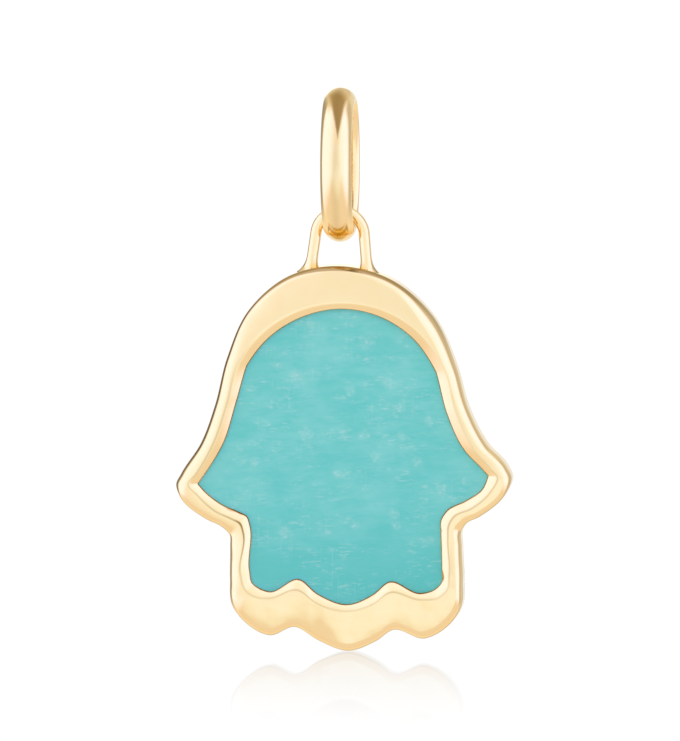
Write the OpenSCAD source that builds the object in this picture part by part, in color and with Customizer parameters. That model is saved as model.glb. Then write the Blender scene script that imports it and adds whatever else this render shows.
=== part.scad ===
// Hamsa pendant: a hand-shaped setting with an inlaid stone, hanging by its wire loop from an oval bail.
// Millimetres. X runs across the hand, Y from front to back, and Z upwards.
// The origin is where the chain sits: the top of the bail's hollow, at the middle of its band.

/* [Bail] */
// Outer height of the oval ring
bail_h = 8.28; // [7.5:0.02:12]
// Outer depth of the oval ring, front to back
bail_depth = 6.2; // [5.8:0.1:7.2]
// Width of the band
bail_w = 1.66; // [1.2:0.02:2.4]
// Thickness of the band at its crown
bail_t = 0.85; // [0.7:0.05:1.2]
// Height of the band's straight flanks, below its crown
bail_flank = 0.22; // [0.15:0.01:0.3]
// Radius of the band's two inner edges
bail_edge_r = 0.12; // [0.08:0.01:0.14]

/* [Loop] */
// Thickness of the loop's wire
wire_d = 0.6; // [0.4:0.02:0.8]
// Clearance between the band and each leg of the loop
side_gap = 0.17; // [0.14:0.01:0.4]
// Clearance between the band's inner edges and the arch that hangs on them
hang_gap = 0.07; // [0.06:0.01:0.12]
// Angle that each leg spreads outwards, in degrees
leg_splay = 6.5; // [2:0.5:10]
// Height of the arch's centre above the hand
leg_h = 1.72; // [1.5:0.02:3]
// Radius of each soldered foot where it meets the hand
foot_r = 0.57; // [0.5:0.01:0.58]
// Height of the flare of each foot
foot_h = 0.8; // [0.4:0.02:0.8]
// Drop from the hand's highest point to the foot of each flare
foot_drop = 0.2; // [0:0.01:0.3]
// Lean of the loop's legs from upright, in degrees
loop_lean = 1.8; // [0:0.1:3]

/* [Hand] */
// Width of the hand across its two thumb tips
hand_w = 18.1; // [16:0.1:22]
// Height of the hand
hand_h = 20.65; // [18:0.05:25]
// Lean of the hand from upright, in degrees
hand_lean = 1.5; // [0:0.1:3]
// Sideways distance from the middle of the loop to the middle of the hand's top
hand_off = 0.09; // [0:0.01:0.3]
// Distance that the hand's thickness is set forward of the loop's wire
hand_fwd = 0.16; // [0:0.01:0.2]
// Width of metal between the hand's top and the stone
rim_top = 2.18; // [1.9:0.02:3]
// Width of metal between each thumb tip and the stone
rim_side = 1.24; // [1.1:0.02:1.6]
// Width of metal between the lowest finger and the stone
rim_bottom = 2.55; // [2.2:0.05:3.2]
// Width of the rounding of the front outer edge
edge_w = 0.54; // [0.3:0.02:0.7]
// Depth of the rounding of the front outer edge
edge_d = 0.5; // [0.3:0.02:0.6]
// Width of the bevel that slopes from the crest down to the stone
bevel_w = 0.5; // [0.35:0.01:0.6]
// Depth of that bevel, below which the seat's wall is upright
bevel_d = 0.27; // [0.25:0.01:0.5]
// Fall of the broad land towards the outer edge, for each millimetre across
land_fall = 0.06; // [0:0.01:0.1]
// Radius of the back outer edge
back_r = 0.15; // [0.05:0.01:0.25]
// Thickness of the closed back behind the stone
back_t = 0.45; // [0.3:0.05:0.8]

/* [Stone] */
// Thickness of the stone
stone_t = 1; // [0.7:0.05:1.4]
// Depth of the stone's face below the crest of the setting
stone_sink = 0.38; // [0.2:0.01:0.45]
// Sideways distance from the middle of the hand to the middle of the stone
stone_off = 0.03; // [0:0.01:0.1]
// Clearance between the stone and its seat, at the side and underneath
seat_gap = 0.05; // [0.03:0.01:0.08]

/* [Hidden] */

gold_colour = "#f2d199";
stone_colour = "#70c8c5";

// Points on an outline between two rows of its table
outline_steps = 5;
// Least share of the rim that stays land between the edge rounding and the crest
least_land = 0.1;
// Angles round the front edge's rounding, from the land outwards to the wall, and round the back edge
edge_angles = [90, 62, 40, 20, 0];
back_angles = [0, 45, 90];
// Shares of the way across the land, from the crest outwards
land_shares = [0, 0.5];
// Shares of the way across the bevel, from the seat up to the crest
bevel_shares = [1, 0.7, 0.35];
// Share of the bevel's depth that falls evenly, and the rest falls with the square
bevel_even = 0.6;
// Depth that a soldered foot reaches into the hand
foot_bite = 0.5;
// Sections down the flare of a foot and over the arch, and points round the wire
foot_steps = 6;
arch_steps = 24;
wire_sides = 24;
// Sections round the bail, and points on its crown and on each inner edge
bail_steps = 72;
crown_steps = 12;
bail_edge_steps = 3;

// Outlines of the hand and the stone, seen from the front, from the top round by the left thumb.
// Lengths across are shares of half the width, and drops are shares of the height from the top.
// corner is 0 on a smooth curve and 1 at a sharp corner of the stone.
// bevel is the width of the bevel there, as a share of bevel_w.
// Columns: hand across, hand drop, stone across, stone drop, corner, bevel
OUTLINE = [
    [0, -0.0065, 0.029, -0.001, 0, 0.65],       // top
    [-0.301, 0.02, -0.267, 0.027, 0, 0.8],      // top left
    [-0.534, 0.105, -0.482, 0.091, 0, 0.9],     // left shoulder
    [-0.671, 0.229, -0.64, 0.183, 0.6, 0.95],   // left upper side
    [-0.75, 0.35, -0.718, 0.302, 0, 1],         // left side
    [-0.841, 0.449, -0.824, 0.451, 0, 1],       // left thumb root
    [-0.963, 0.527, -0.941, 0.541, 0, 1],       // left thumb top
    [-0.994, 0.554, -1, 0.58, 1, 1],            // left thumb tip
    [-0.974, 0.584, -0.942, 0.612, 0, 1],       // left thumb under its tip
    [-0.822, 0.645, -0.826, 0.655, 0, 1],       // left thumb belly
    [-0.723, 0.668, -0.726, 0.677, 0, 1],       // left waist, upper
    [-0.684, 0.687, -0.667, 0.694, 0, 1],       // left waist
    [-0.683, 0.72, -0.65, 0.722, 0, 1],         // left waist, lower
    [-0.688, 0.8, -0.66, 0.878, 0, 1],          // left hip
    [-0.68, 0.872, -0.643, 0.919, 0, 1],        // left corner
    [-0.605, 0.918, -0.598, 0.936, 0, 0.95],    // left corner, lower
    [-0.46, 0.953, -0.532, 0.948, 0, 0.65],     // left finger
    [-0.313, 0.932, -0.324, 0.908, 0, 1.1],     // left notch
    [-0.172, 0.969, -0.19, 0.961, 0, 0.95],     // middle finger, left
    [0.006, 0.996, 0.012, 0.996, 0, 0.65],      // middle finger
    [0.171, 0.972, 0.183, 0.964, 0, 0.95],      // middle finger, right
    [0.273, 0.944, 0.297, 0.922, 0, 1.1],       // right notch
    [0.455, 0.968, 0.514, 0.962, 0, 0.65],      // right finger
    [0.609, 0.932, 0.62, 0.947, 0, 0.95],       // right corner, lower
    [0.682, 0.886, 0.658, 0.926, 0, 1],         // right corner
    [0.695, 0.82, 0.662, 0.88, 0, 1],           // right hip
    [0.693, 0.73, 0.662, 0.755, 0, 1],          // right waist, lower
    [0.696, 0.688, 0.664, 0.718, 0, 1],         // right waist
    [0.724, 0.67, 0.703, 0.687, 0, 1],          // right waist, upper
    [0.805, 0.652, 0.846, 0.651, 0, 1],         // right thumb belly
    [0.967, 0.591, 0.952, 0.616, 0, 1],         // right thumb under its tip
    [1, 0.553, 0.996, 0.57, 1, 1.05],           // right thumb tip
    [0.973, 0.523, 0.949, 0.543, 0, 1.05],      // right thumb top
    [0.862, 0.467, 0.842, 0.486, 0, 1.05],      // right thumb root
    [0.753, 0.37, 0.729, 0.366, 0, 1.05],       // right side
    [0.688, 0.262, 0.656, 0.217, 0.6, 1],       // right upper side
    [0.562, 0.134, 0.5, 0.101, 0, 0.9],         // right shoulder
    [0.319, 0.033, 0.291, 0.03, 0, 0.8]         // top right
];
HAND_X = 0;
HAND_DROP = 1;
STONE_X = 2;
STONE_DROP = 3;
CORNER = 4;
BEVEL = 5;
LEFT_TIP = 7;
ROWS = len(OUTLINE);
RING = ROWS * outline_steps;

// Depths from front to back: the crest, the stone's face, the floor of its seat, and the back
hand_t = stone_sink + stone_t + seat_gap + back_t;
crest_y = -hand_t / 2 - hand_fwd;
face_y = crest_y + stone_sink;
floor_y = face_y + stone_t + seat_gap;
back_y = crest_y + hand_t;

// Heights: the bottom of the bail's hollow, the arch that hangs there, the axis that the pendant swings
// about, which runs along X through the wire's middle at the top of the arch, and the hand
bail_floor_z = -(bail_h - 2 * bail_t);
loop_r = bail_w / 2 + side_gap + wire_d / 2;
reach_r = loop_r - wire_d / 2 - hang_gap - bail_edge_r;
reach_x = bail_w / 2 - bail_edge_r;
arch_z = bail_floor_z - bail_edge_r - sqrt(reach_r * reach_r - reach_x * reach_x);
swing_z = arch_z + loop_r;
hand_z = arch_z - leg_h;

// The stone's own size follows from the hand's and the rims round it
stone_w = hand_w - 2 * rim_side;
stone_h = hand_h - rim_top - rim_bottom;

// Outlines as [x, z] points below the hand's top

hand_points = [for (row = OUTLINE) [row[HAND_X] * hand_w / 2, -row[HAND_DROP] * hand_h]];
stone_points = [for (row = OUTLINE)
    [stone_off + row[STONE_X] * stone_w / 2, -rim_top - row[STONE_DROP] * stone_h]];
crest_points = [for (i = [0:ROWS - 1])
    towards(stone_points[i], hand_points[i], OUTLINE[i][BEVEL] * bevel_w)];
corners = [for (row = OUTLINE) row[CORNER]];
no_corners = [for (row = OUTLINE) 0];

// The point at a distance from a towards b
function towards(a, b, distance) = a + (b - a) / norm(b - a) * distance;

// The direction of a smooth curve at row i: the two chords' directions, the nearer chord counting for more
function bend(points, i) =
    let (
        n = len(points),
        before = points[i] - points[(i + n - 1) % n],
        after = points[(i + 1) % n] - points[i]
    )
    (before / norm(before) * norm(after) + after / norm(after) * norm(before))
        / (norm(before) + norm(after));

// A closed curve through the points: cubic spans that share their direction at each row.
// At a corner a span starts or ends in the direction that makes it an even arc.
function curve(points, corner) =
    let (n = len(points))
    [for (i = [0:n - 1])
        let (
            j = (i + 1) % n,
            length = norm(points[j] - points[i]),
            chord = (points[j] - points[i]) / length,
            start_bend = bend(points, i),
            end_bend = bend(points, j),
            start = (1 - corner[i]) * start_bend + corner[i] * (1.5 * chord - 0.5 * end_bend),
            end = (1 - corner[j]) * end_bend + corner[j] * (1.5 * chord - 0.5 * start_bend)
        )
        for (k = [0:outline_steps - 1])
            let (t = k / outline_steps)
            points[i] * (2 * pow(t, 3) - 3 * pow(t, 2) + 1)
                + start * length * (pow(t, 3) - 2 * pow(t, 2) + t)
                + points[j] * (3 * pow(t, 2) - 2 * pow(t, 3))
                + end * length * (pow(t, 3) - pow(t, 2))];

hand_line = curve(hand_points, no_corners);
crest_line = curve(crest_points, no_corners);
stone_line = curve(stone_points, corners);
seat_line = [for (i = [0:RING - 1]) widened(stone_line, i, seat_gap)];

// Point i of a line moved outwards, so that both spans beside it move out by the distance
function widened(line, i, distance) =
    let (
        a = outwards(line[i] - line[(i + RING - 1) % RING]),
        b = outwards(line[(i + 1) % RING] - line[i])
    )
    line[i] + (a + b) / (1 + a * b) * distance;
function outwards(span) = [span[1], -span[0]] / norm(span);

// Width from the hand's outer edge to the crest, and of the rounding inside it
function rim(i) = norm(crest_line[i] - hand_line[i]);
function rounding(i) = min(edge_w, (1 - least_land) * rim(i));

// Section of the bail's band, as [across, out from the flat inside] points: edge, crown, edge
crown_h = bail_t - bail_flank;
crown_r = (pow(bail_w / 2, 2) + pow(crown_h, 2)) / (2 * crown_h);
crown_start = asin((crown_r - crown_h) / crown_r);
band_line = concat(
    [for (k = [0:bail_edge_steps]) band_edge(-90 + 90 * k / bail_edge_steps, 1)],
    [for (k = [0:crown_steps])
        let (angle = crown_start + (180 - 2 * crown_start) * k / crown_steps)
        [crown_r * cos(angle), bail_t - crown_r + crown_r * sin(angle)]],
    [for (k = [0:bail_edge_steps]) band_edge(180 + 90 * k / bail_edge_steps, -1)]
);
function band_edge(angle, side) =
    [side * (bail_w / 2 - bail_edge_r) + bail_edge_r * cos(angle), bail_edge_r * (1 + sin(angle))];

// Rings of the setting's surface, as [x, y, z] points
function flat_ring(line, y) = [for (p = line) [p[0], y, p[1]]];
function bevel_ring(share) = [for (i = [0:RING - 1])
    let (p = crest_line[i] + (seat_line[i] - crest_line[i]) * share)
    [p[0], crest_y + bevel_d * (bevel_even * share + (1 - bevel_even) * share * share), p[1]]];
function land_ring(share) = [for (i = [0:RING - 1])
    let (fall = rim(i) - rounding(i), p = towards(crest_line[i], hand_line[i], fall * share))
    [p[0], crest_y + land_fall * fall * share, p[1]]];
function edge_ring(angle) = [for (i = [0:RING - 1])
    let (
        fall = land_fall * (rim(i) - rounding(i)),
        p = towards(hand_line[i], crest_line[i], rounding(i) * (1 - cos(angle)))
    )
    [p[0], crest_y + fall + (edge_d - fall) * (1 - sin(angle)), p[1]]];
function back_ring(angle) = [for (i = [0:RING - 1])
    let (p = towards(hand_line[i], crest_line[i], back_r * (1 - cos(angle))))
    [p[0], back_y - back_r * (1 - sin(angle)), p[1]]];

// Triangles between each ring of points and the next, and back to the first ring if the skin is closed
function ring_faces(count, sides, closed) =
    [for (r = [0:count - (closed ? 1 : 2)], i = [0:sides - 1])
        let (
            here = r * sides,
            next = (r + 1) % count * sides,
            j = (i + 1) % sides
        )
        each [[here + i, here + j, next + j], [here + i, next + j, next + i]]];

// A skin through a list of rings, whose first and last rings are closed by fans from a middle point
module skin(rings, first_middle, last_middle) {
    count = len(rings);
    sides = len(rings[0]);
    first_cap = [for (i = [0:sides - 1]) [count * sides, (i + 1) % sides, i]];
    last_cap = [for (i = [0:sides - 1])
        [count * sides + 1, (count - 1) * sides + i, (count - 1) * sides + (i + 1) % sides]];
    polyhedron(
        points = concat([for (ring = rings) each ring], [first_middle, last_middle]),
        faces = concat(ring_faces(count, sides, false), first_cap, last_cap)
    );
}

// Places a child drawn below the hand's top at its lean under the loop
module on_hand() {
    translate([-hand_off, 0, hand_z]) rotate([0, -hand_lean, 0]) children();
}

// The cast hand: seat, bevel, crest, land, rounded edge, wall and closed back
module cast_hand() {
    thumb_z = -(rim_top + stone_h * OUTLINE[LEFT_TIP][STONE_DROP]);
    skin(
        concat(
            [flat_ring(seat_line, floor_y)],
            [for (share = bevel_shares) bevel_ring(share)],
            [for (share = land_shares) land_ring(share)],
            [for (angle = edge_angles) edge_ring(angle)],
            [for (angle = back_angles) back_ring(angle)]
        ),
        [0, floor_y, thumb_z],
        [0, back_y, thumb_z]
    );
}

// The wire loop's stations, as [angle round the arch, way down the leg, wire radius], from the right
// foot over the arch to the left foot. A foot widens with the square of the way down its flare.
leg_l = (leg_h + foot_drop) / cos(leg_splay) + loop_r * sin(leg_splay);
leg_stations = concat(
    [[leg_l + foot_bite, foot_r]],
    [for (k = [foot_steps:-1:0])
        let (share = k / foot_steps)
        [leg_l - foot_h * (1 - share), wire_d / 2 + (foot_r - wire_d / 2) * share * share]]
);
last_station = len(leg_stations) - 1;
loop_stations = concat(
    [for (station = leg_stations) [leg_splay, station[0], station[1]]],
    [for (k = [0:arch_steps]) [leg_splay + (180 - 2 * leg_splay) * k / arch_steps, 0, wire_d / 2]],
    [for (k = [last_station:-1:0]) [180 - leg_splay, leg_stations[k][0], leg_stations[k][1]]]
);
function station_middle(station) =
    let (angle = station[0], down = angle < 90 ? station[1] : -station[1])
    [loop_r * cos(angle) + down * sin(angle), 0, loop_r * sin(angle) - down * cos(angle)];
function station_ring(station) =
    [for (i = [0:wire_sides - 1])
        let (out = station[2] * cos(360 * i / wire_sides), back = -station[2] * sin(360 * i / wire_sides))
        station_middle(station) + [out * cos(station[0]), back, out * sin(station[0])]];

// The wire loop: an arch and two legs with flared feet
module loop() {
    translate([0, 0, arch_z]) rotate([0, loop_lean, 0])
        skin(
            [for (station = loop_stations) station_ring(station)],
            station_middle(loop_stations[0]),
            station_middle(loop_stations[len(loop_stations) - 1])
        );
}

module setting() {
    color(gold_colour) {
        on_hand() cast_hand();
        loop();
    }
}

module stone() {
    color(stone_colour)
        on_hand() translate([0, face_y + stone_t, 0]) rotate([90, 0, 0])
            linear_extrude(stone_t) polygon(stone_line);
}

// The bail: the band's section carried round an oval, whose flat inside is an ellipse
module bail() {
    mid_z = bail_t - bail_h / 2;
    half_y = bail_depth / 2 - bail_t;
    half_z = bail_h / 2 - bail_t;
    points = [for (k = [0:bail_steps - 1])
        let (
            turn = -360 * k / bail_steps,
            inside = [half_y * cos(turn), half_z * sin(turn)],
            normal = [half_z * cos(turn), half_y * sin(turn)],
            out = normal / norm(normal)
        )
        for (p = band_line) [p[0], inside[0] + out[0] * p[1], mid_z + inside[1] + out[1] * p[1]]];
    color(gold_colour) polyhedron(points, ring_faces(bail_steps, len(band_line), true));
}

setting();
stone();
bail();
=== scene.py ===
"""Looks of the hamsa pendant: a gold hand with an inlaid blue-green stone, on its loop and bail.

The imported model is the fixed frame. Every visible piece is built again here from the same tables and
sizes, finer than in the CAD model, and dressed with procedural materials. Shapes are worked out in
millimetres and put into the meshes in metres. X runs across the hand, Y from front to back and Z up.
Sizes below are in millimetres and angles in degrees, unless a comment says otherwise.
"""

from __future__ import annotations

import logging
import math
from dataclasses import dataclass, field
from enum import Enum

import bpy
import numpy as np
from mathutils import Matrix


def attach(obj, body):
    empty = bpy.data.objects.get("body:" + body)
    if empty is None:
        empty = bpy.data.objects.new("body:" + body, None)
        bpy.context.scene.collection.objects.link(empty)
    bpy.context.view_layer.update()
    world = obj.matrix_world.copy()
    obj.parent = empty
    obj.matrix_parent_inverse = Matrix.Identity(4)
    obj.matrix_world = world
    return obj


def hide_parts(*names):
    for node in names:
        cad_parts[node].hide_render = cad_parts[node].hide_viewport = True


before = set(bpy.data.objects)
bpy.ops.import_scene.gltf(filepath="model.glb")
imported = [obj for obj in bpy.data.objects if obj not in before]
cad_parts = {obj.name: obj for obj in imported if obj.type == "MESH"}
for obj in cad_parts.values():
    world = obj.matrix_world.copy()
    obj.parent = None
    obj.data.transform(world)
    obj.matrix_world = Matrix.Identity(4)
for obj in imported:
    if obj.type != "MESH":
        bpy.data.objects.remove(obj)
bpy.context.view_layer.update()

LOG = logging.getLogger("pendant")
MM = 0.001
WHITE = (1.0, 1.0, 1.0, 1.0)

Colour = tuple[float, float, float, float]
Triple = tuple[float, float, float]
Span = tuple[float, float]
LightTable = tuple[tuple[float, Triple], ...]


class Column(Enum):
    """Columns of the outline's table."""

    HAND_X = 0
    HAND_DROP = 1
    STONE_X = 2
    STONE_DROP = 3
    CORNER = 4
    BEVEL = 5


# Outlines of the hand and the stone, from the top round by the left thumb, as seen from the front.
# Lengths across are shares of half the width, and drops are shares of the height from the top.
# The columns are those of Column, and the rows are those of the CAD model's table.
OUTLINE = np.array([
    [0, -0.0065, 0.029, -0.001, 0, 0.65],
    [-0.301, 0.02, -0.267, 0.027, 0, 0.8],
    [-0.534, 0.105, -0.482, 0.091, 0, 0.9],
    [-0.671, 0.229, -0.64, 0.183, 0.6, 0.95],
    [-0.75, 0.35, -0.718, 0.302, 0, 1],
    [-0.841, 0.449, -0.824, 0.451, 0, 1],
    [-0.963, 0.527, -0.941, 0.541, 0, 1],
    [-0.994, 0.554, -1, 0.58, 1, 1],
    [-0.974, 0.584, -0.942, 0.612, 0, 1],
    [-0.822, 0.645, -0.826, 0.655, 0, 1],
    [-0.723, 0.668, -0.726, 0.677, 0, 1],
    [-0.684, 0.687, -0.667, 0.694, 0, 1],
    [-0.683, 0.72, -0.65, 0.722, 0, 1],
    [-0.688, 0.8, -0.66, 0.878, 0, 1],
    [-0.68, 0.872, -0.643, 0.919, 0, 1],
    [-0.605, 0.918, -0.598, 0.936, 0, 0.95],
    [-0.46, 0.953, -0.532, 0.948, 0, 0.65],
    [-0.313, 0.932, -0.324, 0.908, 0, 1.1],
    [-0.172, 0.969, -0.19, 0.961, 0, 0.95],
    [0.006, 0.996, 0.012, 0.996, 0, 0.65],
    [0.171, 0.972, 0.183, 0.964, 0, 0.95],
    [0.273, 0.944, 0.297, 0.922, 0, 1.1],
    [0.455, 0.968, 0.514, 0.962, 0, 0.65],
    [0.609, 0.932, 0.62, 0.947, 0, 0.95],
    [0.682, 0.886, 0.658, 0.926, 0, 1],
    [0.695, 0.82, 0.662, 0.88, 0, 1],
    [0.693, 0.73, 0.662, 0.755, 0, 1],
    [0.696, 0.688, 0.664, 0.718, 0, 1],
    [0.724, 0.67, 0.703, 0.687, 0, 1],
    [0.805, 0.652, 0.846, 0.651, 0, 1],
    [0.967, 0.591, 0.952, 0.616, 0, 1],
    [1, 0.553, 0.996, 0.57, 1, 1.05],
    [0.973, 0.523, 0.949, 0.543, 0, 1.05],
    [0.862, 0.467, 0.842, 0.486, 0, 1.05],
    [0.753, 0.37, 0.729, 0.366, 0, 1.05],
    [0.688, 0.262, 0.656, 0.217, 0.6, 1],
    [0.562, 0.134, 0.5, 0.101, 0, 0.9],
    [0.319, 0.033, 0.291, 0.03, 0, 0.8],
])
LEFT_TIP = 7


class Relief(Enum):
    """Columns of the relief's table."""

    EDGE = 0
    CREST_TILT = 1
    LAND_TILT = 2
    BEND = 3
    EDGE_TILT = 4
    SEAM = 5
    LINE = 6
    EDGE_LINE = 7
    EDGE_LINE_W = 8


# Relief of the rim at the same rows: width of the outer rounding in millimetres; tilts in degrees of the
# land at the crest and at its outer side, and the power of the way across that it bends with; tilt that
# the rounding starts with; width of the seam at the stone; darkness of the painted dark lines along the
# crest and along the outer edge, and the second one's width.
RELIEF = np.array([
    [0.3, 0, 3, 1, 10, 0.006, 0, 0.75, 0.27],
    [0.3, 0, 8, 1, 12, 0.006, 0, 0.75, 0.2],
    [0.32, 0, 14, 1.5, 17, 0.006, 0, 0.85, 0.15],
    [0.42, 0, 16, 1.5, 19, 0.006, 0.2, 0.95, 0.16],
    [0.5, 0, 16, 1.5, 19, 0.006, 0.35, 1, 0.16],
    [0.5, 2, 16, 1, 19, 0.006, 0.4, 1, 0.16],
    [0.5, 3, 18, 1, 21, 0.006, 0.4, 0.95, 0.15],
    [0.5, 3, 18, 1, 21, 0.008, 0.2, 0.8, 0.14],
    [0.38, 2, 12, 1, 15, 0.011, 0.25, 0.6, 0.1],
    [0.36, 2, 11, 1, 14, 0.017, 0.35, 0.6, 0.1],
    [0.36, 2, 11, 1, 14, 0.038, 0.5, 0.6, 0.1],
    [0.42, 2, 12, 1, 15, 0.02, 1, 0.55, 0.1],
    [0.5, 2, 13, 1, 16, 0.006, 0.9, 0.5, 0.1],
    [0.5, 2, 12, 1, 15, 0.006, 0.25, 0.5, 0.1],
    [0.5, 2, 12, 1, 15, 0.006, 0.15, 0.6, 0.1],
    [0.5, 3, 13, 2, 14, 0.014, 0.15, 0.6, 0.1],
    [0.45, 3.5, 17, 2.5, 18, 0.02, 0.2, 0.6, 0.1],
    [0.42, 3.5, 15, 3, 18, 0.023, 0.3, 0.45, 0.1],
    [0.42, 3, 19, 1.2, 20, 0.014, 0.2, 0.5, 0.1],
    [0.45, 3.5, 8, 3, 16, 0.014, 0.12, 0.5, 0.1],
    [0.42, 3.5, 14, 2, 18, 0.017, 0.15, 0.5, 0.1],
    [0.42, 3.5, 13, 2.5, 18, 0.023, 0.3, 0.45, 0.1],
    [0.45, 3.5, 14, 2.5, 18, 0.026, 0.25, 0.55, 0.1],
    [0.46, 3, 12, 2, 18, 0.008, 0.15, 0.5, 0.1],
    [0.46, 1, 10, 1.5, 19, 0.006, 0.25, 0.45, 0.1],
    [0.42, 2, 14, 1, 22, 0.006, 0.35, 0.35, 0.1],
    [0.42, 3, 15, 1, 22, 0.006, 0.4, 0.3, 0.1],
    [0.42, 3, 15, 1, 22, 0.014, 0.45, 0.3, 0.1],
    [0.38, 2, 11, 1, 15, 0.026, 0.4, 0.4, 0.1],
    [0.34, 2, 10, 1, 13, 0.017, 0.3, 0.5, 0.1],
    [0.34, 3, 12, 1, 16, 0.014, 0.3, 0.5, 0.1],
    [0.42, 4, 18, 1, 23, 0.01, 0.3, 0.3, 0.1],
    [0.4, 4, 17, 1, 23, 0.006, 0.2, 0.1, 0.1],
    [0.42, 4, 16, 1, 23, 0.006, 0.15, 0.1, 0.1],
    [0.46, 3, 14, 1, 22, 0.006, 0.15, 0.15, 0.1],
    [0.54, 2, 10, 1.5, 22, 0.006, 0.1, 0.25, 0.1],
    [0.66, 0, 3, 1, 22, 0.006, 0.05, 0.6, 0.13],
    [0.42, 0, 3, 1, 18, 0.006, 0, 0.75, 0.2],
])


# Mesh work


def column(name: Column) -> np.ndarray:
    """One column of the outline's table."""
    return OUTLINE[:, name.value]


def length(vectors: np.ndarray) -> np.ndarray:
    """Lengths of the vectors in the last axis, kept as an axis of one."""
    return np.linalg.norm(vectors, axis=-1, keepdims=True)


def moved_towards(start: np.ndarray, goal: np.ndarray, distance: np.ndarray | float) -> np.ndarray:
    """Points moved by a distance on their straight lines towards other points."""
    return start + (goal - start) / length(goal - start) * distance


def smooth_loop(points: np.ndarray, corner: np.ndarray, steps: int) -> np.ndarray:
    """A closed curve through points, of cubic spans that share their direction at each point.

    The direction at a point is the mean of its two chords' directions, the nearer chord counting for
    more. At a corner, a span starts or ends in the direction that makes it an even arc. A span is the
    usual cubic blend of its two end points and its two end directions times the chord's length.

    Args:
        points: The points, one row of two coordinates each.
        corner: How much of a corner each point is, from 0 to 1.
        steps: Points of the curve for each span.

    Returns:
        The curve's points, steps rows for each given point.
    """
    before = points - np.roll(points, 1, axis=0)
    after = np.roll(points, -1, axis=0) - points
    chord = after / length(after)
    bend = before / length(before) * length(after) + chord * length(before)
    bend = bend / (length(before) + length(after))
    end_bend = np.roll(bend, -1, axis=0)
    share = corner[:, None]
    end_share = np.roll(share, -1, axis=0)
    start = ((1 - share) * bend + share * (1.5 * chord - 0.5 * end_bend)) * length(after)
    end = ((1 - end_share) * end_bend + end_share * (1.5 * chord - 0.5 * bend)) * length(after)
    t = (np.arange(steps) / steps)[None, :, None]
    curve = (
        points[:, None] * (2 * t**3 - 3 * t**2 + 1)
        + start[:, None] * (t**3 - 2 * t**2 + t)
        + np.roll(points, -1, axis=0)[:, None] * (3 * t**2 - 2 * t**3)
        + end[:, None] * (t**3 - t**2)
    )
    return curve.reshape(-1, 2)


def rise_between(value: np.ndarray, none: np.ndarray | float, full: np.ndarray | float) -> np.ndarray:
    """A straight rise from 0 where a value is none to 1 where it is full, level beyond both."""
    return np.clip((value - none) / (full - none), 0, 1)


def outwards(span: np.ndarray) -> np.ndarray:
    """Unit directions to the outer side of spans that run anticlockwise as seen from the front."""
    return np.stack([span[:, 1], -span[:, 0]], axis=1) / length(span)


def widened(line: np.ndarray, distance: np.ndarray | float) -> np.ndarray:
    """A closed line moved outwards, so that the two spans beside each point move by the distance.

    Args:
        line: The line's points, anticlockwise as seen from the front.
        distance: The distance, or one for each point.

    Returns:
        The moved points: each goes along the mean of its two outward directions.
    """
    a = outwards(line - np.roll(line, 1, axis=0))
    b = outwards(np.roll(line, -1, axis=0) - line)
    return line + (a + b) / (1 + (a * b).sum(axis=1, keepdims=True)) * distance


def turned_about_y(points: np.ndarray, degrees: float) -> np.ndarray:
    """Points turned about the Y axis by the right-hand rule."""
    c, s = math.cos(math.radians(degrees)), math.sin(math.radians(degrees))
    return points @ np.array([[c, 0, -s], [0, 1, 0], [s, 0, c]])


def ring_quads(count: int, sides: int, closed: bool) -> np.ndarray:
    """Faces between each ring of points and the next, and back to the first ring if closed.

    Args:
        count: Number of rings.
        sides: Points in a ring.
        closed: Whether the last ring joins the first.

    Returns:
        Four point numbers for each face.
    """
    here = np.arange(count if closed else count - 1)[:, None] * sides
    beyond = (here + sides) % (count * sides)
    i = np.arange(sides)[None, :]
    j = (i + 1) % sides
    return np.stack([here + i, here + j, beyond + j, beyond + i], axis=-1).reshape(-1, 4)


def put_in_mesh(name: str, points: np.ndarray, faces: list[list[int]]) -> bpy.types.Object:
    """Makes a smooth-shaded object at the origin from points in millimetres.

    Args:
        name: Name of the object.
        points: One row of three coordinates for each point.
        faces: Point numbers of each face, anticlockwise from outside.

    Returns:
        The object, linked to the scene.
    """
    mesh = bpy.data.meshes.new(name)
    mesh.from_pydata((points * MM).tolist(), [], faces)
    mesh.validate()
    mesh.shade_smooth()
    piece = bpy.data.objects.new(name, mesh)
    bpy.context.scene.collection.objects.link(piece)
    return piece


def skin(name: str, rings: np.ndarray, middles: tuple[np.ndarray, np.ndarray] | None) -> bpy.types.Object:
    """A closed skin through rings of points.

    Args:
        name: Name of the object.
        rings: The rings, as an array of rings by points by three coordinates.
        middles: Middle points of the fans that close the first and the last ring, or None where the
            last ring joins the first.

    Returns:
        The object.
    """
    count, sides = rings.shape[:2]
    faces = ring_quads(count, sides, middles is None).tolist()
    points = rings.reshape(-1, 3)
    if middles is not None:
        i = np.arange(sides)
        j = (i + 1) % sides
        first = np.stack([np.full(sides, count * sides), j, i], axis=1)
        last = np.stack([np.full(sides, count * sides + 1), (count - 1) * sides + i,
                         (count - 1) * sides + j], axis=1)
        faces += first.tolist() + last.tolist()
        points = np.concatenate([points, np.stack(middles)])
    return put_in_mesh(name, points, faces)


def set_attribute(piece: bpy.types.Object, name: str, values: np.ndarray) -> None:
    """Stores one number for each point of a piece under a name that its material reads."""
    attribute = piece.data.attributes.new(name, "FLOAT", "POINT")
    attribute.data.foreach_set("value", values.astype(np.float32))


# Shader maths


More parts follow.
